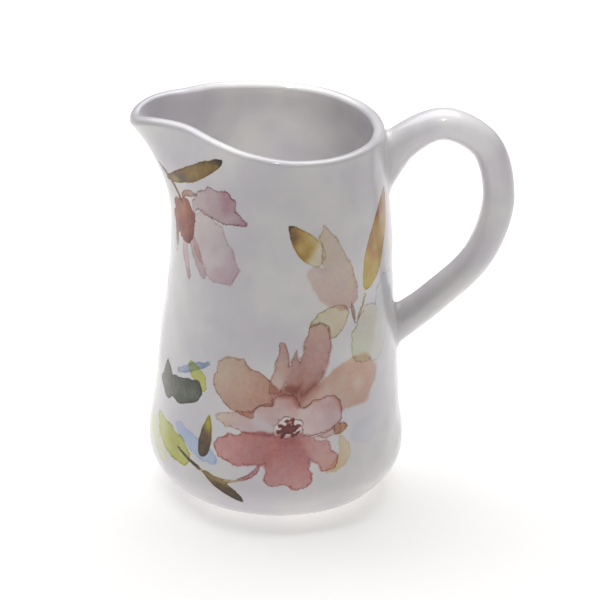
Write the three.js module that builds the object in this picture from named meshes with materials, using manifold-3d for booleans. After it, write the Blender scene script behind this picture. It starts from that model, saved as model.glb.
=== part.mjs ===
// A ceramic pitcher. The slip-cast body tapers towards its mouth and is drawn out into a pouring
// spout. A round loop handle is made apart and luted to the wall with clay slip at both of its ends.
//
// Millimetres, +Z up. The origin is the centre of the flat foot. The spout points along -X and the
// handle stands on the +X side.

import * as THREE from 'three';
import { mergeVertices } from 'three/addons/utils/BufferGeometryUtils.js';
import Module from 'manifold-3d';

const wasm = await Module();
wasm.setup();

// Body of revolution, before the spout is drawn out
const RIM_HEIGHT = 196;
const FOOT_RADIUS = 34;
const BELLY_RADIUS = 63.6;
const BELLY_HEIGHT = 25;
const WALL_OUTLINE = [[61.5, 50], [57.2, 100], [53.5, 150]];
const RIM_RADIUS = 49.4;
const WALL_THICKNESS = 4.6;
const FLOOR_THICKNESS = 7;
const FLOOR_RADIUS = 36;

// Spout: a narrow tip and a wider flare beside it, both growing from the wall up to the rim
const SPOUT_START = 116;
const SPOUT_GROWTH = 3;
const TIP_REACH = 17.8;
const TIP_HALF_ANGLE = 17.6;
const TIP_BLUNTNESS = 2.6;
const FLARE_REACH = 11;
const FLARE_HALF_ANGLE = 36.5;
const RIM_RISE = 10;
const RISE_HALF_ANGLE = 68;
const TIP_DIP = 7.4;
const DIP_HALF_ANGLE = 12;

// Handle: the centre line of the round loop, as [x, z], from inside the upper wall to the lower one.
// The loop thickens towards the wall, where its ends were pressed on.
const HANDLE_LINE = [
  [44, 165], [58, 186.5], [78, 196.5], [98, 187],
  [107, 160], [99, 127], [77, 102], [45, 77],
];
const HANDLE_RADIUS = 7.9;
const END_FLARE = 1.5;
const END_FLARE_LENGTH = 14;

// Slip joints: a layer under each handle end, squeezed out into a collar around it
const SLIP_THICKNESS = 1.5;
const COLLAR_WIDTH = 1.6;
const COLLAR_REACH = 3.2;
const GAP = 0.3;

// Smoothness
const AROUND_BODY = 64;
const ALONG_WALL = 14;
const AROUND_CORNER = 6;
const AROUND_LIP = 4;
const HANDLE_SIDES = 16;
const ALONG_HANDLE = 36;

const glaze = new THREE.MeshStandardMaterial({ color: 0xe4e2e4, roughness: 0.22, metalness: 0 });
const slip = new THREE.MeshStandardMaterial({ color: 0xdcd9d8, roughness: 0.3, metalness: 0 });

// ---- The spout's shape -------------------------------------------------------------------------

function hump(angle, halfAngle, power) {
  return Math.exp(-Math.pow(Math.abs(angle) / THREE.MathUtils.degToRad(halfAngle), power));
}

function growthAt(height) {
  return THREE.MathUtils.clamp((height - SPOUT_START) / (RIM_HEIGHT - SPOUT_START), 0, 1);
}

function spoutReach(angle, height) {
  const tip = TIP_REACH * hump(angle, TIP_HALF_ANGLE, TIP_BLUNTNESS);
  const flare = FLARE_REACH * hump(angle, FLARE_HALF_ANGLE, 2);
  return (tip + flare) * Math.pow(growthAt(height), SPOUT_GROWTH);
}

function spoutRise(angle, height) {
  const rise = RIM_RISE * hump(angle, RISE_HALF_ANGLE, 2);
  const dip = TIP_DIP * hump(angle, DIP_HALF_ANGLE, 2);
  return (rise - dip) * Math.pow(growthAt(height), 2);
}

// Moves every vertex of a body of revolution outwards and upwards to where the spout takes it.
function drawOutSpout(geometry) {
  const position = geometry.attributes.position;
  for (let i = 0; i < position.count; i += 1) {
    const x = position.getX(i);
    const y = position.getY(i);
    const z = position.getZ(i);
    const radius = Math.hypot(x, y);
    if (radius < 1) {
      continue;
    }
    const angle = Math.atan2(y, -x);
    const stretch = (radius + spoutReach(angle, z)) / radius;
    position.setXYZ(i, x * stretch, y * stretch, z + spoutRise(angle, z));
  }
  return geometry;
}

// ---- Outlines of the body ----------------------------------------------------------------------

function wallCurve(inset, top) {
  const points = [[BELLY_RADIUS, BELLY_HEIGHT], ...WALL_OUTLINE, [RIM_RADIUS, top]];
  return new THREE.SplineCurve(points.map(([radius, z]) => new THREE.Vector2(radius - inset, z)));
}

// A quarter ellipse from the edge of a flat disc up to the wall.
function cornerPoints(discRadius, discHeight, wallRadius, wallHeight) {
  const points = [];
  for (let i = 0; i <= AROUND_CORNER; i += 1) {
    const turn = (Math.PI / 2) * (i / AROUND_CORNER);
    const radius = discRadius + (wallRadius - discRadius) * Math.sin(turn);
    const z = discHeight + (wallHeight - discHeight) * (1 - Math.cos(turn));
    points.push(new THREE.Vector2(radius, z));
  }
  return points;
}

function outerOutline(grow, top) {
  const corner = cornerPoints(FOOT_RADIUS + grow, -grow, BELLY_RADIUS + grow, BELLY_HEIGHT);
  const wall = wallCurve(-grow, top).getPoints(ALONG_WALL).slice(1);
  return [...corner, ...wall];
}

function innerOutline(top) {
  const wallRadius = BELLY_RADIUS - WALL_THICKNESS;
  const corner = cornerPoints(FLOOR_RADIUS, FLOOR_THICKNESS, wallRadius, BELLY_HEIGHT);
  const wall = wallCurve(WALL_THICKNESS, top).getPoints(ALONG_WALL).slice(1);
  return [...corner, ...wall];
}

function lipPoints(centreRadius, centreHeight) {
  const points = [];
  for (let i = 1; i < AROUND_LIP; i += 1) {
    const turn = Math.PI * (i / AROUND_LIP);
    const radius = centreRadius + (WALL_THICKNESS / 2) * Math.cos(turn);
    const z = centreHeight + (WALL_THICKNESS / 2) * Math.sin(turn);
    points.push(new THREE.Vector2(radius, z));
  }
  return points;
}

// ---- Geometry helpers --------------------------------------------------------------------------

// Keeps only positions, merges what coincides, and drops triangles that collapsed on the axis.
function closedGeometry(source) {
  const stripped = source.clone();
  stripped.deleteAttribute('normal');
  stripped.deleteAttribute('uv');
  const merged = mergeVertices(stripped, 1e-4);
  const index = merged.index.array;
  const kept = [];
  for (let i = 0; i < index.length; i += 3) {
    const [a, b, c] = [index[i], index[i + 1], index[i + 2]];
    if (a !== b && b !== c && c !== a) {
      kept.push(a, b, c);
    }
  }
  merged.setIndex(kept);
  return merged;
}

function revolve(outline) {
  const geometry = new THREE.LatheGeometry(outline, AROUND_BODY);
  geometry.rotateX(Math.PI / 2);
  return closedGeometry(geometry);
}

function toManifold(geometry) {
  const vertProperties = new Float32Array(geometry.attributes.position.array);
  const triVerts = new Uint32Array(geometry.index.array);
  return new wasm.Manifold(new wasm.Mesh({ numProp: 3, vertProperties, triVerts }));
}

function fromManifold(manifold) {
  const mesh = manifold.getMesh();
  const geometry = new THREE.BufferGeometry();
  geometry.setAttribute('position', new THREE.BufferAttribute(mesh.vertProperties, 3));
  geometry.setIndex(new THREE.BufferAttribute(mesh.triVerts, 1));
  geometry.computeVertexNormals();
  return geometry;
}

function namedMesh(name, geometry, material) {
  const mesh = new THREE.Mesh(geometry, material);
  mesh.name = name;
  return mesh;
}

// ---- Body --------------------------------------------------------------------------------------

function bodyGeometry() {
  const lipHeight = RIM_HEIGHT - WALL_THICKNESS / 2;
  const outline = [
    new THREE.Vector2(0, 0),
    ...outerOutline(0, lipHeight),
    ...lipPoints(RIM_RADIUS - WALL_THICKNESS / 2, lipHeight),
    ...innerOutline(lipHeight).reverse(),
    new THREE.Vector2(0, FLOOR_THICKNESS),
  ];
  return drawOutSpout(revolve(outline));
}

// The space that the body takes up with its hollow filled in, swollen by the given amount.
function filledBody(grow) {
  const outline = [
    new THREE.Vector2(0, -grow),
    ...outerOutline(grow, RIM_HEIGHT),
    new THREE.Vector2(0, RIM_HEIGHT),
  ];
  return toManifold(drawOutSpout(revolve(outline)));
}

// ---- Handle and its slip joints ----------------------------------------------------------------

const handleCurve = new THREE.CatmullRomCurve3(HANDLE_LINE.map(([x, z]) => new THREE.Vector3(x, 0, z)));

// Pushes the skin of a tube away from the centre line, more so the nearer it is to the wall.
function flareEnds(geometry) {
  const position = geometry.attributes.position;
  const stations = handleCurve.getSpacedPoints(ALONG_HANDLE);
  const point = new THREE.Vector3();
  for (let i = 0; i < position.count; i += 1) {
    point.fromBufferAttribute(position, i);
    const centre = stations.reduce((a, b) => (a.distanceTo(point) < b.distanceTo(point) ? a : b));
    const fromWall = Math.max(0, centre.x - RIM_RADIUS);
    const flare = END_FLARE * Math.exp(-Math.pow(fromWall / END_FLARE_LENGTH, 2));
    const fromCentre = point.clone().sub(centre);
    if (fromCentre.length() > 1) {
      point.add(fromCentre.setLength(flare));
    }
    position.setXYZ(i, point.x, point.y, point.z);
  }
  return geometry;
}

function handleTube(radius) {
  const section = new THREE.Shape();
  section.absarc(0, 0, radius, 0, 2 * Math.PI);
  const geometry = new THREE.ExtrudeGeometry(section, {
    extrudePath: handleCurve,
    steps: ALONG_HANDLE,
    curveSegments: HANDLE_SIDES / 2,
    bevelEnabled: false,
  });
  return toManifold(flareEnds(closedGeometry(geometry)));
}

// The handle, swollen by the given amount, with its ends cut to stand off the wall by the slip layer.
function handleSolid(grow) {
  return handleTube(HANDLE_RADIUS + grow).subtract(filledBody(SLIP_THICKNESS + GAP - grow));
}

// Both joints come from one cut, and are sorted so that the upper one comes first.
function slipJoints() {
  const rings = handleTube(HANDLE_RADIUS + COLLAR_WIDTH)
    .intersect(filledBody(COLLAR_REACH))
    .subtract(filledBody(GAP))
    .subtract(handleSolid(GAP));
  const pieces = rings.decompose();
  pieces.sort((a, b) => b.boundingBox().max[2] - a.boundingBox().max[2]);
  return pieces;
}

const pitcher = new THREE.Group();
pitcher.add(namedMesh('pitcher_body', bodyGeometry(), glaze));
pitcher.add(namedMesh('loop_handle', fromManifold(handleSolid(0)), glaze));
const [upperJoint, lowerJoint] = slipJoints();
pitcher.add(namedMesh('upper_slip_joint', fromManifold(upperJoint), slip));
pitcher.add(namedMesh('lower_slip_joint', fromManifold(lowerJoint), slip));

export default pitcher;
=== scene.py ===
"""A glazed ceramic pitcher with watercolour blossoms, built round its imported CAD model.

Metres, +Z up, in the CAD model's frame: the spout points along -X, the handle stands on the +X side,
and the front, with the large blossom, faces -Y.
"""

import math

import bpy
import numpy as np
from mathutils import Matrix, Vector, noise


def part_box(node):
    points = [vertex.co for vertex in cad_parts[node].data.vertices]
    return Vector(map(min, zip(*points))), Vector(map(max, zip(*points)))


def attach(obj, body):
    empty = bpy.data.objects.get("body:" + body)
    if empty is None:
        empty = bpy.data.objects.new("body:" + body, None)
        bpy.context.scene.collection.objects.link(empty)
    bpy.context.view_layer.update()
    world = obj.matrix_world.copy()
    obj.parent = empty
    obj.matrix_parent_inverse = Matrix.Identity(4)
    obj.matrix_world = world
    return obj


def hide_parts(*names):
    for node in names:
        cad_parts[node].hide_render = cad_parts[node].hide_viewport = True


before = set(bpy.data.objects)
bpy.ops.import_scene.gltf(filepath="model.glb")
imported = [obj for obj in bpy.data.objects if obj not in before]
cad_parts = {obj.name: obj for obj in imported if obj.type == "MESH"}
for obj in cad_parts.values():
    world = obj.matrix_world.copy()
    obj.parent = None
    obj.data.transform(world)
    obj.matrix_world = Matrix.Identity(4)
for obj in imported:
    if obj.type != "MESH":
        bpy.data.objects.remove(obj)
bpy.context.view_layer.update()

MM = 0.001
scene = bpy.context.scene

# The noise shapes the clay's dimples and the paint's wavering outlines, in the same way on each run
NOISE_SEED = 5
noise.seed_set(NOISE_SEED)

# ---- Driving dimensions -------------------------------------------------------------------------

# Body of revolution, before the spout is drawn out. The wall's outline is [radius, z], from the belly
# up to the rim, and the wall thickens over the last few millimetres below the lip.
WALL_OUTLINE = np.array([[63.6, 25], [61.5, 50], [57.2, 100], [53.5, 150], [49.4, 196]]) * MM
BELLY_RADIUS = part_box("pitcher_body")[1].y
BELLY_HEIGHT = WALL_OUTLINE[0, 1]
RIM_RADIUS, RIM_HEIGHT = WALL_OUTLINE[-1]
FOOT_RADIUS = 34 * MM
WALL_THICKNESS = 4.6 * MM
LIP_THICKNESS = 5.8 * MM
LIP_BEAD = 9 * MM
FLOOR_THICKNESS = 7 * MM
FLOOR_RADIUS = 36 * MM
FOOT_RINGS = np.array([4, 12, 20, 27, 31, 33]) * MM
FLOOR_RINGS = np.array([34, 28, 20, 12, 4]) * MM

# Spout: a narrow tip and a wider flare beside it, both growing from the wall up to the rim
SPOUT_START = 116 * MM
SPOUT_GROWTH = 3
TIP_REACH = 17.8 * MM
TIP_HALF_ANGLE = math.radians(17.6)
TIP_BLUNTNESS = 2.6
FLARE_REACH = 11 * MM
FLARE_HALF_ANGLE = math.radians(36.5)
RIM_RISE = 10 * MM
RISE_HALF_ANGLE = math.radians(68)
TIP_DIP = 7.4 * MM
DIP_HALF_ANGLE = math.radians(12)

# Handle: the centre line of the round loop, as [x, z], from inside the upper wall to the lower one.
# Its ends thicken towards the wall and run a little way into it.
HANDLE_LINE = np.array([
    [44, 165], [58, 186.5], [78, 196.5], [98, 187],
    [107, 160], [99, 127], [77, 102], [45, 77],
]) * MM
HANDLE_RADIUS = 7.9 * MM
END_FLARE = 1.5 * MM
END_FLARE_LENGTH = 14 * MM
END_DEPTH = 1.5 * MM

# Slip joints: a hollow fillet in the corner between the handle and the wall, with an uneven edge
FILLET_UP_HANDLE = 3.4 * MM
FILLET_ALONG_WALL = 3.0 * MM
FILLET_BEAD = 0.25 * MM
FILLET_SUNK = 0.4 * MM
FILLET_SWELL = 0.25
FILLET_SWELL_SIZE = 5 * MM

# Hand-finished clay: slow swells, with smaller dents on them that are half as deep
WALL_DIMPLES = 0.62 * MM
HANDLE_DIMPLES = 0.22 * MM
SWELL_SIZE = 34 * MM
DENT_SIZE = 13 * MM
DENT_SHARE = 0.5
DIMPLES_FULL_AT = 12 * MM

# Smoothness: points round each ring, and rings along each stretch. The inner wall starts a few of the
# outside's rings above the belly, and the handle is cut from a finer skin.
AROUND_BODY = 360
CORNER_RINGS = 26
WALL_RINGS = 168
LIP_RINGS = 15
INNER_WALL_START = 2
INNER_WALL_RINGS = 46
INNER_CORNER_RINGS = 12
AROUND_HANDLE = 48
ALONG_HANDLE = 150
SKIN_STATIONS = 900
FILLET_RINGS = 9
ONTO_WALL_STEPS = 3

# ---- Small helpers ------------------------------------------------------------------------------


def hermite(x, knots, values, first_slope=None):
    """A smooth curve through the knots, like a spring steel strip held at each one."""
    slopes = np.gradient(values, knots)
    if first_slope is not None:
        slopes[0] = first_slope
    i = np.clip(np.searchsorted(knots, x) - 1, 0, len(knots) - 2)
    step = knots[i + 1] - knots[i]
    t = (x - knots[i]) / step
    near = (2 * t**3 - 3 * t**2 + 1) * values[i] + (t**3 - 2 * t**2 + t) * step * slopes[i]
    far = (-2 * t**3 + 3 * t**2) * values[i + 1] + (t**3 - t**2) * step * slopes[i + 1]
    return near + far


def hump(angle, half_angle, power):
    """A smooth hump round angle 0, blunter with a higher power."""
    return np.exp(-np.abs(angle / half_angle) ** power)


def unit(vectors):
    """Vectors of length 1 in the same directions."""
    return vectors / np.maximum(np.linalg.norm(vectors, axis=-1, keepdims=True), 1e-12)


def noise_at(points, size):
    """Smooth noise at each point, between -1 and 1, whose swells are about the given size."""
    flat = points.reshape(-1, 3)
    return np.array([noise.noise(Vector(p) / size) for p in flat]).reshape(points.shape[:-1])


def dimples(points, depth):
    """How far the hand-finished clay stands proud at each point."""
    return depth * (noise_at(points, SWELL_SIZE) + DENT_SHARE * noise_at(points, DENT_SIZE))


def new_object(name, points, faces):
    """A smooth-shaded mesh in the scene."""
    mesh = bpy.data.meshes.new(name)
    mesh.from_pydata([tuple(p) for p in points], [], faces)
    mesh.update()
    mesh.polygons.foreach_set("use_smooth", [True] * len(mesh.polygons))
    piece = bpy.data.objects.new(name, mesh)
    scene.collection.objects.link(piece)
    return piece


def grid_faces(rows, columns, close_rows=False):
    """Quads of a grid of points whose columns close on themselves."""
    faces = []
    for i in range(rows if close_rows else rows - 1):
        for j in range(columns):
            k = (j + 1) % columns
            n = (i + 1) % rows
            faces.append((i * columns + j, i * columns + k, n * columns + k, n * columns + j))
    return faces


# ---- Body ---------------------------------------------------------------------------------------


def wall_radius(z):
    """The outside radius of the wall at a height, where the spout is not drawn out."""
    return hermite(z, WALL_OUTLINE[:, 1], WALL_OUTLINE[:, 0], first_slope=0.0)


def spouted(radius, z, angle):
    """Points of rings of revolution after the spout is drawn out. The angle is 0 at the spout."""
    growth = np.clip((z - SPOUT_START) / (RIM_HEIGHT - SPOUT_START), 0, 1)
    tip = TIP_REACH * hump(angle, TIP_HALF_ANGLE, TIP_BLUNTNESS)
    flare = FLARE_REACH * hump(angle, FLARE_HALF_ANGLE, 2)
    rise = RIM_RISE * hump(angle, RISE_HALF_ANGLE, 2) - TIP_DIP * hump(angle, DIP_HALF_ANGLE, 2)
    r = radius + (tip + flare) * growth**SPOUT_GROWTH
    return np.stack([-r * np.cos(angle), r * np.sin(angle), z + rise * growth**2], axis=-1)


def corner_arc(disc_radius, disc_height, wall_at, wall_from, count):
    """Radii and heights along a quarter ellipse, from the edge of a flat disc up to the wall."""
    turn = np.linspace(0, math.pi / 2, count)
    radius = disc_radius + (wall_at - disc_radius) * np.sin(turn)
    return radius, disc_height + (wall_from - disc_height) * (1 - np.cos(turn))


def ring_normals(rings):
    """Outward directions at the points of rings that are listed from the foot upwards."""
    around = np.roll(rings, -1, axis=1) - np.roll(rings, 1, axis=1)
    along = np.gradient(rings, axis=0)
    return unit(np.cross(along, around))


def flat_rings(radii, height, angle):
    """Rings of a flat disc."""
    return spouted(radii[:, None], np.full((len(radii), 1), height), angle)


def outer_rings(angle):
    """Rings of the outside, from the edge of the foot up to the lip, and the outward directions there."""
    corner_r, corner_z = corner_arc(FOOT_RADIUS, 0, BELLY_RADIUS, BELLY_HEIGHT, CORNER_RINGS)
    wall_z = np.linspace(BELLY_HEIGHT, RIM_HEIGHT - WALL_THICKNESS / 2, WALL_RINGS)[1:]
    z = np.concatenate([corner_z, wall_z])[:, None]
    r = np.concatenate([corner_r, wall_radius(wall_z)])[:, None]
    rings = spouted(r, z, angle)
    fade = np.clip(rings[..., 2] / DIMPLES_FULL_AT, 0, 1)
    rings = rings + ring_normals(rings) * (dimples(rings, WALL_DIMPLES) * fade)[..., None]
    return rings, ring_normals(rings)


def lip_rings(edge, normals):
    """Rings over the rounded lip, from the top ring of the outside to that of the inside."""
    around = unit(np.roll(edge, -1, axis=0) - np.roll(edge, 1, axis=0))
    up = unit(np.cross(around, normals))
    middle = edge - normals * LIP_THICKNESS / 2
    turns = np.linspace(0, math.pi, LIP_RINGS)[1:-1][:, None, None]
    return middle + normals * np.cos(turns) * LIP_THICKNESS / 2 + up * np.sin(turns) * WALL_THICKNESS / 2


def inner_rings(outer, normals, angle):
    """Rings of the inside, from the lip down to the middle of the floor. The wall is thicker at the lip."""
    top = len(outer) - 1
    rows = np.linspace(top, CORNER_RINGS + INNER_WALL_START, INNER_WALL_RINGS).round().astype(int)
    ring_gap = (RIM_HEIGHT - WALL_THICKNESS / 2 - BELLY_HEIGHT) / (WALL_RINGS - 1)
    bead = np.exp(-(((top - rows) * ring_gap / LIP_BEAD) ** 2))
    thickness = WALL_THICKNESS + (LIP_THICKNESS - WALL_THICKNESS) * bead
    wall = outer[rows] - normals[rows] * thickness[:, None, None]
    wall_at = BELLY_RADIUS - WALL_THICKNESS
    corner_r, corner_z = corner_arc(
        FLOOR_RADIUS, FLOOR_THICKNESS, wall_at, BELLY_HEIGHT, INNER_CORNER_RINGS)
    corner = spouted(corner_r[::-1][:, None], corner_z[::-1][:, None], angle)
    return np.concatenate([wall, corner, flat_rings(FLOOR_RINGS, FLOOR_THICKNESS, angle)])


def body_rings():
    """Rings from the middle of the foot over the outside, the lip and the inside to the middle of the
    floor, and which of them are on the outside."""
    angle = np.linspace(-math.pi, math.pi, AROUND_BODY, endpoint=False)[None, :]
    foot = flat_rings(FOOT_RINGS, 0.0, angle)
    outer, normals = outer_rings(angle)
    lip = lip_rings(outer[-1], normals[-1])
    inner = inner_rings(outer, normals, angle)
    outside = slice(len(foot), len(foot) + len(outer))
    return np.concatenate([foot, outer, lip, inner]), outside


def body_piece(rings):
    """The body as one closed skin through the rings, with a fan of triangles at either end."""
    count = rings.shape[0]
    faces = [tuple(reversed(face)) for face in grid_faces(count, AROUND_BODY)]
    points = list(rings.reshape(-1, 3))
    foot_middle = len(points)
    floor_middle = foot_middle + 1
    points += [(0, 0, 0), (0, 0, FLOOR_THICKNESS)]
    last = (count - 1) * AROUND_BODY
    for j in range(AROUND_BODY):
        k = (j + 1) % AROUND_BODY
        faces.append((foot_middle, j, k))
        faces.append((floor_middle, last + k, last + j))
    return new_object("glazed_body", points, faces)


# ---- Handle -------------------------------------------------------------------------------------


def handle_stations():
    """Centres, directions across and radii along the handle, from the upper wall to the lower one."""
    knots = np.concatenate([[0], np.cumsum(np.linalg.norm(np.diff(HANDLE_LINE, axis=0), axis=1))])
    s = np.linspace(0, knots[-1], SKIN_STATIONS)
    x = hermite(s, knots, HANDLE_LINE[:, 0])
    z = hermite(s, knots, HANDLE_LINE[:, 1])
    centres = np.stack([x, np.zeros_like(x), z], axis=-1)
    along = unit(np.gradient(centres, axis=0))
    across = np.stack([along[:, 2], np.zeros_like(x), -along[:, 0]], axis=-1)
    from_wall = np.maximum(0, x - RIM_RADIUS)
    radii = HANDLE_RADIUS + END_FLARE * np.exp(-((from_wall / END_FLARE_LENGTH) ** 2))
    return centres, across, radii


def handle_skin():
    """Points on the handle's skin, one row for each station, and the outward directions there."""
    centres, across, radii = handle_stations()
    turn = np.linspace(0, 2 * math.pi, AROUND_HANDLE, endpoint=False)[None, :, None]
    sideways = np.array([0, 1, 0])[None, None, :]
    outward = across[:, None, :] * np.cos(turn) + sideways * np.sin(turn)
    points = centres[:, None, :] + outward * radii[:, None, None]
    return points + outward * dimples(points, HANDLE_DIMPLES)[..., None], outward


def outside_wall(points):
    """How far points stand outside the wall on the handle's side, negative inside it."""
    flat = np.hypot(points[..., 0], points[..., 1])
    return flat - wall_radius(np.minimum(points[..., 2], RIM_HEIGHT)) - dimples(points, WALL_DIMPLES)


def wall_normal(points):
    """The wall's outward directions beside the points, on the handle's side."""
    step = 1 * MM
    z = np.minimum(points[..., 2], RIM_HEIGHT)
    slope = (wall_radius(z + step) - wall_radius(z - step)) / (2 * step)
    r = np.hypot(points[..., 0], points[..., 1])
    return unit(np.stack([points[..., 0] / r, points[..., 1] / r, -slope], axis=-1))


def crossing(clear, step, depth):
    """The station, with its fraction, at which a line of the skin comes within the depth of the wall."""
    i = len(clear) // 2
    while clear[i] > depth:
        i += step
    return i - step * (depth - clear[i]) / (clear[i - step] - clear[i])


def at_stations(lines, stations):
    """Points at fractional stations, one for each line of the skin."""
    low = np.clip(np.floor(stations).astype(int), 0, lines.shape[0] - 2)
    part = (stations - low)[..., None]
    column = np.arange(lines.shape[1])
    return lines[low, column] * (1 - part) + lines[low + 1, column] * part


skin, skin_outward = handle_skin()
skin_clear = outside_wall(skin)
station_gap = np.linalg.norm(np.diff(skin.mean(axis=1), axis=0), axis=1).mean()


def crossings(step, depth):
    """The crossing of every line of the skin, searched from the middle of the loop by the step."""
    return np.array([crossing(skin_clear[:, j], step, depth) for j in range(AROUND_HANDLE)])


def handle_piece():
    """The loop, with each line of its skin ending at the same small depth inside the wall."""
    start = crossings(-1, -END_DEPTH)
    end = crossings(1, -END_DEPTH)
    part = np.linspace(0, 1, ALONG_HANDLE)[:, None]
    rows = np.stack([at_stations(skin, start + (end - start) * t) for t in part])
    faces = grid_faces(ALONG_HANDLE, AROUND_HANDLE)
    points = list(rows.reshape(-1, 3))
    for row, turned in ((0, True), (ALONG_HANDLE - 1, False)):
        middle = len(points)
        points.append(rows[row].mean(axis=0))
        for j in range(AROUND_HANDLE):
            a = row * AROUND_HANDLE + j
            b = row * AROUND_HANDLE + (j + 1) % AROUND_HANDLE
            faces.append((middle, b, a) if turned else (middle, a, b))
    return new_object("glazed_handle", points, faces)


# ---- Slip joints --------------------------------------------------------------------------------


def onto_wall(points):
    """Moves points along the wall's normal until they lie on it, and keeps them below the lip."""
    for _ in range(ONTO_WALL_STEPS):
        points = points - wall_normal(points) * outside_wall(points)[..., None]
    points[..., 2] = np.minimum(points[..., 2], RIM_HEIGHT - WALL_THICKNESS / 2)
    return points - wall_normal(points) * outside_wall(points)[..., None]


def joint_piece(name, step):
    """A hollow fillet of slip round the handle's upper end (step -1) or lower end (step 1)."""
    where = crossings(step, 0)
    corner = at_stations(skin, where)
    up_handle = at_stations(skin, where - step * FILLET_UP_HANDLE / station_gap)
    outward = unit(at_stations(skin_outward, where))
    normal = wall_normal(corner)
    sideways = unit(outward - normal * (outward * normal).sum(axis=-1, keepdims=True))
    swell = 1 + FILLET_SWELL * noise_at(corner, FILLET_SWELL_SIZE)[:, None]
    on_wall = onto_wall(corner + sideways * FILLET_ALONG_WALL * swell)
    control = corner + (outward + normal) * FILLET_BEAD
    sunk = FILLET_SUNK * (outward + normal)
    profile = [up_handle - outward * FILLET_SUNK]
    for t in np.linspace(0, 1, FILLET_RINGS):
        profile.append((1 - t) ** 2 * up_handle + 2 * t * (1 - t) * control + t**2 * on_wall)
    profile.append(on_wall - normal * FILLET_SUNK)
    profile.append(corner - sunk)
    rings = np.stack(profile, axis=1)
    count, columns = rings.shape[:2]
    faces = grid_faces(count, columns, close_rows=True)
    if step > 0:
        faces = [tuple(reversed(face)) for face in faces]
    return new_object(name, rings.reshape(-1, 3), faces)


# ---- Painted decoration -------------------------------------------------------------------------
#
# Each stroke is a closed outline on the unrolled wall, in millimetres: the distance round the wall from
# the front towards the handle, and the height. The wall's mesh carries, for each layer of paint, the
# distance to the nearest stroke's outline, its softness and edge, and its stain, and the glaze's nodes
# turn them into washes with pooled edges.

# The wall is unrolled at the paint radius. Layer 0 has the palest washes and the last one the lines.
PAINT_RADIUS = 58
ALL_ROUND = 2 * math.pi * PAINT_RADIUS
SPOUT_AT = -ALL_ROUND / 4
LAYERS = 6
FAR = 30.0
NO_STROKE = [FAR, 0.3, 0.0]
NO_STAIN = [1.0, 1.0, 1.0, 0.0]

# Points of an outline, how far round it the wall is looked at, and how far a covering petal's edge
# reaches over the paint that it hides
PETAL_POINTS = 40
SPOT_POINTS = 30
STROKE_MARGIN = 7
SPOT_MARGIN = 3
COVER_INSET = 0.9

# Shades are given as they look on the wall, and a stain is what turns the bare wall's shade into them
BARE_WALL = "b5b2b5"
STAIN_RANGE = (0.01, 1.1)

# A wash pools in places and along its edge, and strokes of one layer run together where they meet
STRENGTH = 1.2
WASH_SHARE = 0.84
EDGE_SHARE = 0.2
EDGE_WIDTH = 2.5
POOL_SHARE = 0.32
POOL_SHIFT = 0.4
POOL_SIZE = 8
POOL_LAYER_GAP = 7.0
RUN_TOGETHER = 4.0

STAMENS = 8
STAMEN_SHADES = ("681a10", "7c2a1e")
FLOWER_CENTRE = np.array([3, 58.4])
SPOT_WAVER_SEED = 50

strokes = []
bare_spots = []


def linear(shade):
    """The linear colour of a hex shade."""
    parts = np.array([int(shade[i:i + 2], 16) / 255 for i in (0, 2, 4)])
    return np.where(parts <= 0.04045, parts / 12.92, ((parts + 0.055) / 1.055) ** 2.4)


def stain(shade):
    """What the bare wall's colour is multiplied by to give the shade."""
    return np.clip(linear(shade) / linear(BARE_WALL), *STAIN_RANGE)


def waver(outline, size, reach, seed):
    """Moves the points of an outline about, as a hand and wet paper would."""
    moved = [noise.noise_vector(Vector((p[0] / reach, p[1] / reach, seed))) for p in outline]
    return outline + size * np.array(moved)[:, :2]


def petal(layer, base, tip, width, shades, fullness=(0.6, 0.5), bend=0.0, soft=(0.3, 0.3),
          edge=1.0, strength=1.0, wave=0.8, reach=5.0, covers=False):
    """A stroke from its base to its tip, in shades from the one to the other.

    Fullness and softness are given for the base and the tip. A low fullness is blunt, and 1 is pointed.
    """
    base, tip = np.array(base, float), np.array(tip, float)
    along = (tip - base) / np.linalg.norm(tip - base)
    across = np.array([-along[1], along[0]])
    t = (1 - np.cos(np.linspace(0, math.pi, PETAL_POINTS))) / 2
    peak = fullness[0] / (fullness[0] + fullness[1])
    half = t ** fullness[0] * (1 - t) ** fullness[1]
    half *= width / 2 / (peak ** fullness[0] * (1 - peak) ** fullness[1])
    spine = base + (tip - base) * t[:, None] + across * (4 * bend * t * (1 - t))[:, None]
    left = spine + across * half[:, None]
    right = spine - across * half[:, None]
    outline = waver(np.concatenate([left, right[-2:0:-1]]), wave, reach, len(strokes))
    tints = np.array([stain(shade) for shade in shades])
    strokes.append((layer, outline, base, tip, tints, soft, edge, strength))
    if covers:
        bare_spots.append((outline, layer, COVER_INSET))


def wash(layer, centre, size, shades, tilt=0.0, **how):
    """A pool of colour that has spread from a centre."""
    half = np.array([math.cos(math.radians(tilt)), math.sin(math.radians(tilt))]) * size[0] / 2
    centre = np.array(centre, float)
    petal(layer, centre - half, centre + half, size[1], shades, fullness=(0.5, 0.5), **how)


def bare_spot(centre, size, below):
    """A ragged place that the paint of the layers below the given one goes round."""
    turn = np.linspace(0, 2 * math.pi, SPOT_POINTS, endpoint=False)
    outline = np.array(centre) + np.array(size) / 2 * np.stack([np.cos(turn), np.sin(turn)], axis=-1)
    bare_spots.append((waver(outline, 2.0, 2.5, SPOT_WAVER_SEED), below, 0.0))


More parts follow.
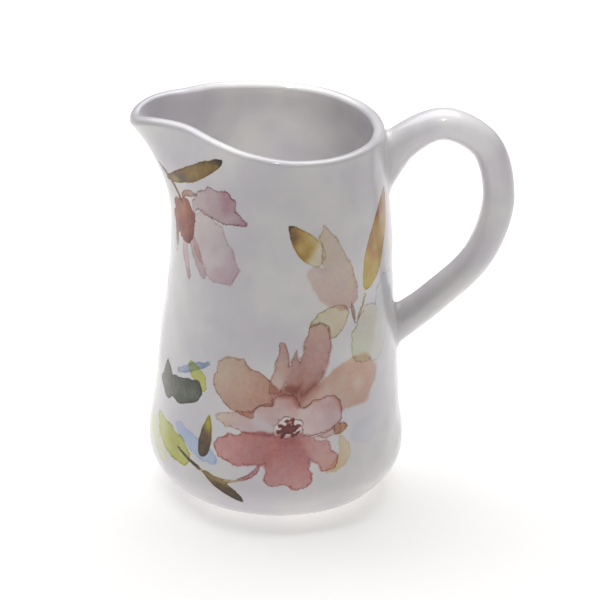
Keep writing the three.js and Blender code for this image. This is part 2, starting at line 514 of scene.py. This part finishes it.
def paint_stamens():
    """A ragged core in a bare ring, with stamens that stand out from it at uneven steps and lengths."""
    bare_spot((3, 58.6), (13, 10.5), 5)
    wash(5, (3, 58.2), (7.2, 5.0), STAMEN_SHADES, wave=1.5, reach=1.6, edge=0.6, strength=1.2)
    for stamen in range(STAMENS):
        way = math.radians(20 + 360 / STAMENS * stamen + 10 * math.sin(stamen * 2.3))
        length = 6.2 + 0.9 * math.sin(stamen * 1.7)
        out = np.array([math.cos(way), 0.85 * math.sin(way)])
        petal(5, FLOWER_CENTRE + 3.6 * out, FLOWER_CENTRE + length * out, 2.3, STAMEN_SHADES,
              (0.6, 0.4), strength=1.2, wave=1.0, reach=1.2)


def paint_blossom():
    """The large flower low on the wall: back petals, upper and side petals, and the red lower ones."""
    petal(1, (2, 63), (-33, 87), 26, ("96685c", "9e7a6c", "ac9a8a"), (0.7, 0.36), edge=0.9, wave=3.0,
          reach=6)
    petal(1, (10, 69), (52, 83), 26, ("a8887c", "aa9084", "aa8e82"), (0.7, 0.4), soft=(1, 1.6),
          edge=0.2, wave=2.2, reach=9)
    petal(2, (-5, 76), (-1, 104), 7.5, ("a8948c", "a0827a"), (0.2, 0.35), bend=-2.0)
    petal(2, (4, 77), (6, 100), 8, ("90605a", "a48a84"), (0.4, 1.0), soft=(2, 0.3), wave=1.0)
    petal(2, (9, 76), (18, 113.5), 15, ("8a5c54", "a07c76", "a48a80"), (0.7, 0.5), bend=-2.0,
          soft=(2, 0.3), wave=1.6, covers=True)
    wash(1, (4, 75), (33, 12), ("8c5c52", "905c54"), tilt=16, soft=(2.5, 2.5), edge=0.3, wave=2.2)
    petal(4, (4, 60), (29.5, 67.5), 19, ("b2a4a4", "ae989a", "a88a88"), (0.45, 0.3), edge=1.8, wave=1.8,
          reach=4, covers=True)
    petal(4, (3, 60), (0, 77), 15, ("ac9896", "a68482"), (0.4, 0.36), edge=1.5, wave=1.4, reach=4,
          covers=True)
    petal(4, (5, 61), (-15, 66.5), 13, ("ac9ea0", "a68c8a"), (0.4, 0.4), edge=1.2, wave=1.4, reach=4,
          covers=True)
    petal(4, (-1, 60), (-27, 60.5), 12, ("b0a6ac", "ac9290"), (0.3, 0.4), soft=(1.2, 0.3), wave=1.3)
    petal(4, (-20, 61), (-33, 59.5), 8, ("ae9c94", "b0a49a"), (0.4, 0.5), edge=0.9, wave=1.0)
    petal(3, (10, 57), (30, 56), 9, ("a89094", "b09a92"), (0.4, 0.4), soft=(1.2, 0.3), wave=1.2)
    petal(4, (25, 55.5), (33, 56), 6, ("a08468", "98785e"), (0.5, 0.8), wave=0.5)
    petal(3, (6, 51.5), (-33, 42.5), 17, ("864648", "a06a68", "ae8482"), (0.45, 0.45), soft=(2, 0.3),
          edge=1.2, wave=2.2, reach=4.5)
    petal(3, (2.5, 55), (2, 27), 24, ("864648", "9c6464", "aa8280"), (0.5, 0.22), soft=(2, 0.3),
          edge=1.1, wave=3.0, reach=6)
    petal(3, (7, 55), (26, 36), 12, ("965e5c", "a88080", "ac8a86"), (0.5, 0.3), soft=(2, 0.3), edge=1.1,
          wave=1.8, reach=4.5)
    petal(1, (29, 52), (21, 33), 7.5, ("b2a694", "aea08c"), (0.5, 0.5), bend=5.5, soft=(0.5, 1.0),
          edge=0.4)
    petal(1, (-12, 62), (-32, 73), 2.2, ("a89488", "a08c80"), (0.5, 0.5), bend=-1.0, wave=0.3)
    paint_stamens()


def paint_lower_leaves():
    """Leaves, stems and blue dabs to the left of the blossom."""
    petal(1, (-90, 39), (-62, 24), 10, ("b0b492", "b2b49a"), (0.5, 0.5), edge=0.5, wave=2.0, reach=8)
    petal(2, (-77, 45.5), (-44.5, 32.5), 13, ("a2a672", "a4a462", "a09e5c"), (0.5, 0.4), bend=-1.0,
          edge=0.8, strength=1.2, wave=2.2, reach=6)
    petal(1, (-58, 48), (-31, 36), 9, ("a0a8ba", "96a2ba"), (0.5, 0.4), soft=(1.2, 0.6), edge=0.5)
    petal(5, (-55.5, 37), (-37, 29), 1.7, ("5a4e2a", "3c3420"), (0.4, 0.3), wave=0.4)
    petal(5, (-39, 30), (-17, 17), 5.6, ("463e1c", "58421c", "2a220c"), (0.9, 0.7), bend=0.8,
          strength=1.15, wave=0.4)
    petal(5, (-38, 29.5), (-19, 29), 2.0, ("a68a4c", "bcae90"), (0.3, 0.3), bend=-1.8, strength=0.8,
          wave=0.3)
    petal(5, (-21, 29), (-10, 39), 2.6, ("94706e", "a87e84"), (0.4, 0.4), bend=-2.0, wave=0.3)
    petal(5, (-39, 36.5), (-36.5, 60), 6.6, ("6a5034", "5e4614", "a09838"), (0.45, 0.8), strength=1.1,
          wave=0.5)
    petal(5, (-67, 57), (-71, 77), 12, ("60564c", "4e5448"), (0.5, 0.9), edge=1.2, strength=1.25,
          wave=1.0)
    petal(5, (-77, 64), (-42, 72), 13, ("565a48", "505644", "3c422e"), (0.5, 0.3), bend=-2.5, edge=1.4,
          strength=1.25, wave=1.4)
    petal(1, (-86, 72), (-83, 46), 4, ("b0b2a0", "acae9c"), (0.5, 0.5), soft=(0.8, 0.8), edge=0.3)
    petal(2, (-60, 75.5), (-38, 87), 4.0, ("929aaa", "808aa0"), (0.3, 0.3), wave=0.6, edge=0.6)
    petal(3, (-52, 83), (-40, 71), 8, ("a0a24c", "a6a660"), (0.5, 0.5), bend=1.5, edge=0.6)


def paint_hanging_flower():
    """The small flower that hangs below the spout, with its leaf, stem and calyx."""
    petal(5, (-81, 171), (-39, 194), 8.4, ("8e7c40", "5e4810", "8c7418", "806814", "362c1a"),
          (0.7, 0.6), bend=-1.0, edge=0.8, strength=1.4, wave=0.4)
    petal(5, (-84, 179), (-68, 161), 1.8, ("6c5c48", "7a563c"), (0.3, 0.3), wave=0.3)
    petal(2, (-60, 164), (-29, 172), 13, ("a89a9c", "9e8288"), (0.4, 0.35), bend=3.5, edge=1.3,
          wave=1.8, reach=4)
    petal(2, (-56, 167), (-22.5, 163), 10, ("a89a9e", "9a7e84"), (0.5, 0.6), bend=1.5, edge=1.3,
          wave=1.2, reach=4)
    petal(1, (-58, 162), (-29, 133), 24, ("b2a8aa", "b0a4a6", "a8949a"), (0.5, 0.34), soft=(1, 0.5),
          edge=0.7, wave=3.4, reach=7)
    petal(1, (-68, 150), (-57, 123), 5.5, ("ac9a9c", "a48e94"), (0.3, 0.6), edge=0.8, wave=0.5)
    petal(2, (-62, 152), (-46, 129), 6.5, ("ac9a9a", "a28e94"), (0.3, 0.4), soft=(0.5, 0.8), edge=0.5,
          wave=0.6)
    petal(3, (-67, 165), (-65.5, 142.5), 20, ("8e5626", "884620", "7c3a20"), (0.3, 0.4), edge=0.6,
          strength=1.35, wave=2.8, reach=3.5)
    petal(3, (-74, 164), (-74, 134), 5, ("8c6040", "7c4a36"), (0.4, 0.8), edge=0.9, wave=0.6)
    petal(4, (-70, 166), (-56, 171), 3.6, ("986e54", "988078"), (0.5, 0.5), bend=1.0, wave=0.4)


def paint_right_leaves():
    """Upright leaves and pale washes between the blossom and the handle."""
    petal(5, (20, 144), (0.5, 165), 13, ("b2aea4", "b0a68a", "a08848", "907038", "5e4c34"), (0.45, 0.8),
          edge=0.8, wave=0.5)
    petal(1, (37, 118), (19, 164.5), 17, ("a48e8e", "ac9e94", "aea296"), (0.5, 0.8), edge=0.8,
          soft=(0.8, 0.3), wave=1.6, reach=6)
    petal(1, (36, 118), (12, 142), 14, ("a6908e", "ae9e98"), (0.5, 0.5), soft=(1.5, 1.5), edge=0.2,
          wave=1.8)
    petal(5, (47, 124), (71, 171), 17, ("a08c3c", "a48440", "986c38", "86582e"), (0.6, 0.8), edge=0.7,
          wave=0.8, strength=0.9, reach=8)
    petal(2, (39, 108), (36.5, 121), 1.4, ("98847a", "9a8a8a"), (0.3, 0.3), wave=0.3)
    petal(2, (39, 108), (48, 126), 1.3, ("a49684", "9c9470"), (0.3, 0.3), bend=-0.8, wave=0.3)
    wash(0, (23, 112), (25, 17), ("a8a68e", "aca090"), tilt=25, edge=1.2, strength=0.9, wave=1.8)
    wash(0, (47, 101), (30, 21), ("a6aa98", "ada498"), tilt=70, edge=1.0, strength=0.8, wave=2.4)
    wash(0, (65, 116), (24, 19), ("acaeb0", "a8aab0"), tilt=60, soft=(1, 1), edge=0.9, strength=0.8,
         wave=2.4)
    wash(0, (43, 50), (17, 13), ("abacb4", "b2b4b8"), soft=(2.5, 2.5), edge=0.2, strength=0.7)
    petal(0, (50, 84), (72, 122), 16, ("b2b0a8", "aeb0ae"), (0.5, 0.7), soft=(1.5, 1), edge=0.7,
          strength=0.8)


def signed_distance(points, outline):
    """Distances from points to a closed outline, negative inside it."""
    after = np.roll(outline, -1, axis=0)
    side = after - outline
    away = points[:, None, :] - outline[None, :, :]
    part = np.clip((away * side).sum(-1) / (side**2).sum(-1), 0, 1)
    nearest = np.linalg.norm(away - part[..., None] * side, axis=-1).min(axis=1)
    level = points[:, 1:2]
    spans = (outline[:, 1] > level) != (after[:, 1] > level)
    rise = np.where(side[:, 1] == 0, 1e-9, side[:, 1])
    cuts = outline[:, 0] + (level - outline[:, 1]) / rise * side[:, 0]
    inside = (spans & (points[:, 0:1] < cuts)).sum(axis=1) % 2 == 1
    return np.where(inside, -nearest, nearest)


def near_outline(places, outline, margin):
    """Indices of the places within the margin of an outline, and those places beside it."""
    middle = (outline.min(axis=0) + outline.max(axis=0)) / 2
    half = (outline.max(axis=0) - outline.min(axis=0)) / 2 + margin
    offset = places - middle
    offset[:, 0] = (offset[:, 0] + ALL_ROUND / 2) % ALL_ROUND - ALL_ROUND / 2
    found = np.where((np.abs(offset) < half).all(axis=1))[0]
    return found, offset[found] + middle


def mirrored(points):
    """The same points on the other side of the plane through the spout and the handle."""
    return np.stack([2 * SPOUT_AT - points[..., 0], points[..., 1]], axis=-1)


def apply_stroke(stroke, places, fields):
    """Lays a stroke into its layer. Where it meets another one there, their stains run together."""
    layer, outline, base, tip, tints, soft, edge, strength = stroke
    found, beside = near_outline(places, outline, STROKE_MARGIN)
    away = signed_distance(beside, outline)
    field, stained = fields[layer]
    part = np.clip((beside - base) @ (tip - base) / ((tip - base) ** 2).sum(), 0, 1)
    spots = np.column_stack([beside / POOL_SIZE, np.full(len(beside), layer * POOL_LAYER_GAP)])
    pool = noise_at(spots, 1)
    where = np.clip(part + POOL_SHIFT * pool, 0, 1) * (len(tints) - 1)
    low = np.minimum(where.astype(int), len(tints) - 2)
    mix = (where - low)[:, None]
    pooled = EDGE_SHARE * np.exp(np.minimum(away, 0) / EDGE_WIDTH) + POOL_SHARE * pool
    amount = strength * STRENGTH * (WASH_SHARE + pooled)
    colour = np.column_stack([tints[low] * (1 - mix) + tints[low + 1] * mix, amount])
    wins = np.clip((field[found, 0] - away) / RUN_TOGETHER / 2 + 0.5, 0, 1)[:, None]
    stained[found] = stained[found] * (1 - wins) + colour * wins
    look = np.column_stack([soft[0] + (soft[1] - soft[0]) * part, np.full(len(part), edge)])
    field[found, 1:] = field[found, 1:] * (1 - wins) + look * wins
    field[found, 0] = np.minimum(field[found, 0], away)


def paint_fields(places):
    """For each layer, the distance, softness and edge at each place, and the stain with its strength."""
    fields = []
    for _ in range(LAYERS):
        fields.append((np.tile(NO_STROKE, (len(places), 1)), np.tile(NO_STAIN, (len(places), 1))))
    for stroke in strokes:
        layer, outline, base, tip, *look = stroke
        apply_stroke(stroke, places, fields)
        apply_stroke((layer, mirrored(outline), mirrored(base), mirrored(tip), *look), places, fields)
    for outline, below, inset in bare_spots:
        for spot in (outline, mirrored(outline)):
            found, beside = near_outline(places, spot, SPOT_MARGIN)
            away = signed_distance(beside, spot)
            for field, _ in fields[:below]:
                field[found, 0] = np.maximum(field[found, 0], -away - inset)
    return fields


def store(piece, name, kind, values, default, first):
    """Keeps values on the piece's vertices from the first one on, and the default on the others."""
    every = np.tile(default, (len(piece.data.vertices), 1))
    every[first:first + len(values)] = values
    layer = piece.data.attributes.new(name, kind, "POINT")
    layer.data.foreach_set("vector" if kind == "FLOAT_VECTOR" else "color", every.ravel())


def paint(piece, rings, outside):
    """Stores the layers of paint on the outside of the wall."""
    paint_blossom()
    paint_lower_leaves()
    paint_hanging_flower()
    paint_right_leaves()
    wall = rings[outside].reshape(-1, 3)
    round_wall = PAINT_RADIUS * np.arctan2(wall[:, 0], -wall[:, 1])
    fields = paint_fields(np.stack([round_wall, wall[:, 2] / MM], axis=-1))
    first = outside.start * AROUND_BODY
    for layer, (field, stained) in enumerate(fields):
        store(piece, f"stroke_{layer}", "FLOAT_VECTOR", field, NO_STROKE, first)
        store(piece, f"stain_{layer}", "FLOAT_COLOR", stained, NO_STAIN, first)


# ---- Materials ----------------------------------------------------------------------------------

GLAZE_COOL = (0.735, 0.708, 0.758, 1)
GLAZE_WARM = (0.83, 0.81, 0.813, 1)
POOLED_EDGE = (0.30, 0.21, 0.22, 1)
SPECK = (0.45, 0.38, 0.32, 1)
BARE_CLAY = (0.62, 0.55, 0.47, 1)

# How fine each pattern is, in swells per metre
CLOUD_SCALE = 26.0
RIPPLE_SCALE = 160.0
WIDE_WAVER_SCALE = 210.0
GRAIN_SCALE = 420.0
PINHOLE_SCALE = 700.0
NARROW_WAVER_SCALE = 850.0
SPECK_SCALE = 900.0

# How far the wet paint's outline wavers, in millimetres, and what share of that a drawn line keeps
WIDE_WAVER = 3.6
NARROW_WAVER = 1.3
DRAWN_WAVER = 0.35

# The line of pigment that dries a little inside a stroke's outline, in millimetres, and how much it
# deepens the stain and dulls it with the pooled edge's colour
LINE_INSIDE = 0.35
LINE_WIDTH = 0.75
LINE_DEEPENS = 0.35
LINE_DULLS = 0.5

# The glaze's relief, and the heights above the foot between which it ends
RIPPLE_HEIGHT = 0.12 * MM
PINHOLE_DEPTH = 0.06 * MM
GLAZE_ENDS = 0.5 * MM
GLAZE_FULL = 1.2 * MM


class Graph:
    """Adds nodes to a tree. An input is given as a number, a colour or another node's output."""

    def __init__(self, tree):
        self.tree = tree

    def add(self, kind, inputs=(), **settings):
        node = self.tree.nodes.new("ShaderNode" + kind)
        for name, value in settings.items():
            setattr(node, name, value)
        for key, value in dict(inputs).items():
            if isinstance(value, bpy.types.NodeSocket):
                self.tree.links.new(value, node.inputs[key])
            else:
                node.inputs[key].default_value = value
        return node

    def math(self, operation, *values):
        return self.add("Math", dict(enumerate(values)), operation=operation).outputs[0]

    def ramp(self, value, start, end, low=0.0, high=1.0, smooth=False):
        kind = "SMOOTHSTEP" if smooth else "LINEAR"
        inputs = {"Value": value, "From Min": start, "From Max": end, "To Min": low, "To Max": high}
        return self.add("MapRange", inputs, interpolation_type=kind).outputs[0]

    def noise(self, place, scale, detail=2.0, roughness=0.5):
        inputs = {"Vector": place, "Scale": scale, "Detail": detail, "Roughness": roughness}
        return self.add("TexNoise", inputs).outputs[0]

    def blend(self, kind, part, one, other):
        inputs = {"Factor": part, 6: one, 7: other}
        return self.add("Mix", inputs, data_type="RGBA", blend_type=kind).outputs[2]


def stroke_group():
    """Lays one layer of translucent stain over the colour below it. Grain breaks up its dark line."""
    tree = bpy.data.node_groups.new("stain_layer", "ShaderNodeTree")
    for name, kind in (
        ("Below", "Color"), ("Stroke", "Vector"), ("Stain", "Color"), ("Strength", "Float"),
        ("Waver", "Float"), ("Grain", "Float"),
    ):
        tree.interface.new_socket(name, in_out="INPUT", socket_type="NodeSocket" + kind)
    tree.interface.new_socket("Colour", in_out="OUTPUT", socket_type="NodeSocketColor")
    graph = Graph(tree)
    given = tree.nodes.new("NodeGroupInput").outputs
    parts = graph.add("SeparateXYZ", {0: given["Stroke"]}).outputs
    away = graph.math("ADD", parts[0], given["Waver"])
    spread = graph.math("DIVIDE", away, parts[1])
    cover = graph.ramp(spread, 1.0, -1.0, smooth=True)
    line = graph.math("ABSOLUTE", graph.math("ADD", away, LINE_INSIDE))
    line = graph.ramp(line, LINE_WIDTH, 0.0, smooth=True)
    line = graph.math("MULTIPLY", line, parts[2])
    line = graph.math("MULTIPLY", line, graph.ramp(given["Grain"], 0.35, 0.6, 0.3, 1.2))
    amount = graph.math("MULTIPLY", given["Strength"], graph.ramp(given["Grain"], 0.3, 0.7, 0.88, 1.14))
    amount = graph.math("ADD", amount, graph.math("MULTIPLY", line, LINE_DEEPENS))
    amount = graph.math("MULTIPLY", amount, cover)
    tint = graph.add("Gamma", {0: given["Stain"], 1: amount}).outputs[0]
    result = graph.blend("MULTIPLY", 1.0, given["Below"], tint)
    line = graph.math("MULTIPLY", graph.math("MULTIPLY", line, cover), LINE_DULLS)
    result = graph.blend("MULTIPLY", line, result, POOLED_EDGE)
    out = tree.nodes.new("NodeGroupOutput")
    tree.links.new(result, out.inputs[0])
    return tree


def glaze_colour(graph, place, cloud):
    """Cool and warm clouds in the off-white glaze, with a few specks of iron."""
    colour = graph.blend("MIX", graph.ramp(cloud, 0.4, 0.6), GLAZE_COOL, GLAZE_WARM)
    speck = graph.ramp(graph.noise(place, SPECK_SCALE, 1.0), 0.8, 0.86)
    return graph.blend("MIX", graph.math("MULTIPLY", speck, 0.5), colour, SPECK)


def outline_waver(graph, place):
    """How far the outlines of wet paint are moved in or out at each place."""
    wide = graph.math("SUBTRACT", graph.noise(place, WIDE_WAVER_SCALE, 3.0, 0.6), 0.5)
    narrow = graph.math("SUBTRACT", graph.noise(place, NARROW_WAVER_SCALE, 2.0), 0.5)
    wide = graph.math("MULTIPLY", wide, WIDE_WAVER)
    return graph.math("ADD", wide, graph.math("MULTIPLY", narrow, NARROW_WAVER))


def lay_stains(graph, place, colour, layers):
    """The colour under its layers of stain. The top layer has the drawn lines, which waver least."""
    grain = graph.noise(place, GRAIN_SCALE, 3.0)
    wet = outline_waver(graph, place)
    drawn = graph.math("MULTIPLY", wet, DRAWN_WAVER)
    group = stroke_group()
    for layer in range(layers):
        stroke = graph.add("Attribute", attribute_name=f"stroke_{layer}").outputs["Vector"]
        tint = graph.add("Attribute", attribute_name=f"stain_{layer}").outputs
        step = graph.add("Group", node_tree=group)
        inputs = {
            "Below": colour, "Stroke": stroke, "Stain": tint["Color"], "Strength": tint["Alpha"],
            "Waver": drawn if layer == layers - 1 else wet, "Grain": grain,
        }
        for key, value in inputs.items():
            graph.tree.links.new(value, step.inputs[key])
        colour = step.outputs[0]
    return colour


def glaze_relief(graph, place):
    """A slight ripple and a few pinholes, as the direction that the surface faces."""
    ripple = graph.math("MULTIPLY", graph.noise(place, RIPPLE_SCALE, 2.0), RIPPLE_HEIGHT)
    pinhole = graph.ramp(graph.noise(place, PINHOLE_SCALE, 0.0), 0.22, 0.15)
    relief = graph.math("ADD", ripple, graph.math("MULTIPLY", pinhole, -PINHOLE_DEPTH))
    return graph.add("Bump", {"Strength": 0.6, "Distance": 1.0, "Height": relief}).outputs[0]


def glaze(name, layers=0):
    """Off-white earthenware glaze over as many layers of stain as are given, and bare clay underfoot."""
    material = bpy.data.materials.new(name)
    material.use_nodes = True
    shader = material.node_tree.nodes["Principled BSDF"]
    graph = Graph(material.node_tree)
    place = graph.add("TexCoord").outputs["Object"]
    cloud = graph.noise(place, CLOUD_SCALE, 3.0)
    colour = glaze_colour(graph, place, cloud)
    if layers:
        colour = lay_stains(graph, place, colour, layers)
    height = graph.add("SeparateXYZ", {0: place}).outputs[2]
    bare = graph.ramp(height, GLAZE_FULL, GLAZE_ENDS)
    rough = graph.ramp(cloud, 0.3, 0.7, 0.28, 0.36)
    facing = glaze_relief(graph, place)
    for key, value in {
        "Base Color": graph.blend("MIX", bare, colour, BARE_CLAY),
        "Roughness": graph.math("ADD", rough, graph.math("MULTIPLY", bare, 0.4)),
        "Normal": facing,
        "Coat Normal": facing,
    }.items():
        graph.tree.links.new(value, shader.inputs[key])
    for key, value in {
        "IOR": 1.5,
        "Specular IOR Level": 0.25,
        "Coat Weight": 0.8,
        "Coat Roughness": 0.09,
        "Coat IOR": 1.52,
    }.items():
        shader.inputs[key].default_value = value
    return material


# ---- Camera, light and floor --------------------------------------------------------------------

# The lens is in millimetres, and the distances in metres
CAMERA_DISTANCE = 3.0
CAMERA_ELEVATION = math.radians(26.05)
CAMERA_AZIMUTH = math.radians(-3.2)
CAMERA_ROLL = math.radians(-1.76)
CAMERA_AIM = Vector((10.1, 0, 99.4)) * MM
CAMERA_LENS = 360.7
BEAM_SOURCE_RADIUS = 20 * MM
FLOOR_REACH = 4


def add_camera():
    """A long lens at the photograph's viewing angle."""
    back = Vector((
        math.sin(CAMERA_AZIMUTH) * math.cos(CAMERA_ELEVATION),
        -math.cos(CAMERA_AZIMUTH) * math.cos(CAMERA_ELEVATION),
        math.sin(CAMERA_ELEVATION),
    ))
    camera = bpy.data.objects.new("camera", bpy.data.cameras.new("camera"))
    camera.data.lens = CAMERA_LENS
    camera.data.sensor_width = 36
    camera.data.clip_end = 20
    scene.collection.objects.link(camera)
    camera.location = CAMERA_AIM + back * CAMERA_DISTANCE
    turn = back.to_track_quat("Z", "Y").to_matrix() @ Matrix.Rotation(-CAMERA_ROLL, 3, "Z")
    camera.rotation_euler = turn.to_euler()
    scene.camera = camera


def add_light(name, kind, at, aim, power, colour):
    """A light of the given kind at a place, turned towards its aim."""
    light = bpy.data.objects.new(name, bpy.data.lights.new(name, kind))
    light.data.energy = power
    light.data.color = colour
    light.location = at
    light.rotation_euler = (Vector(at) - Vector(aim)).to_track_quat("Z", "Y").to_euler()
    scene.collection.objects.link(light)
    return light.data


def add_panel(name, at, aim, size, power, colour):
    """A rectangular soft box."""
    lamp = add_light(name, "AREA", at, aim, power, colour)
    lamp.shape = "RECTANGLE"
    lamp.size, lamp.size_y = size


def add_beam(name, at, aim, width, power, colour):
    """A narrow beam whose brightness fades smoothly from its middle to its edge."""
    lamp = add_light(name, "SPOT", at, aim, power, colour)
    lamp.spot_size = math.radians(width)
    lamp.spot_blend = 1
    lamp.shadow_soft_size = BEAM_SOURCE_RADIUS


def add_floor():
    """A plain white floor, which shines a little so that it nearly reaches the photograph's white."""
    corners = [(x * FLOOR_REACH, y * FLOOR_REACH, 0) for x, y in ((-1, -1), (1, -1), (1, 1), (-1, 1))]
    floor = new_object("floor", corners, [(0, 1, 2, 3)])
    material = bpy.data.materials.new("floor_white")
    material.use_nodes = True
    shader = material.node_tree.nodes["Principled BSDF"]
    shader.inputs["Base Color"].default_value = (0.95, 0.94, 0.92, 1)
    shader.inputs["Roughness"].default_value = 0.9
    shader.inputs["Emission Color"].default_value = (1, 0.99, 0.97, 1)
    shader.inputs["Emission Strength"].default_value = 0.39
    floor.data.materials.append(material)


def add_world():
    """A faint even light from all round."""
    world = bpy.data.worlds.new("studio")
    world.use_nodes = True
    background = world.node_tree.nodes["Background"]
    background.inputs["Color"].default_value = (1, 1, 1, 1)
    background.inputs["Strength"].default_value = 0.03
    scene.world = world


add_camera()
add_floor()
add_world()
add_panel("overhead", (-0.1, 0.4, 1.5), (0, 0, 0.1), (1.9, 1.4), 26, (0.98, 0.98, 1))
add_panel("front_right", (0.9, -1.3, 0.35), (0, 0, 0.07), (0.8, 0.6), 1.0, (1, 0.93, 0.85))
# One beam falls through the mouth onto the far inner wall, and the other onto the top of the handle
add_beam("mouth_beam", (0.0, -0.75, 1.35), (-0.01, 0.022, 0.185), 4.8, 62, (1, 1, 0.93))
add_beam("handle_beam", (0.15, -0.75, 1.35), (0.085, 0, 0.19), 3.4, 30, (1, 1, 1))
scene.view_settings.view_transform = "Standard"

# ---- Assembly -----------------------------------------------------------------------------------

rings, outside = body_rings()
body = body_piece(rings)
paint(body, rings, outside)
handle = handle_piece()
upper_joint = joint_piece("upper_slip_fillet", -1)
lower_joint = joint_piece("lower_slip_fillet", 1)

body.data.materials.append(glaze("painted_glaze", LAYERS))
plain = glaze("clear_glaze")
for piece in (handle, upper_joint, lower_joint):
    piece.data.materials.append(plain)

for piece, slot, node in (
    (body, "decorated_glaze", "pitcher_body"),
    (handle, "plain_glaze", "loop_handle"),
    (upper_joint, "plain_glaze", "upper_slip_joint"),
    (lower_joint, "plain_glaze", "lower_slip_joint"),
):
    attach(piece, "root")
    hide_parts(node)
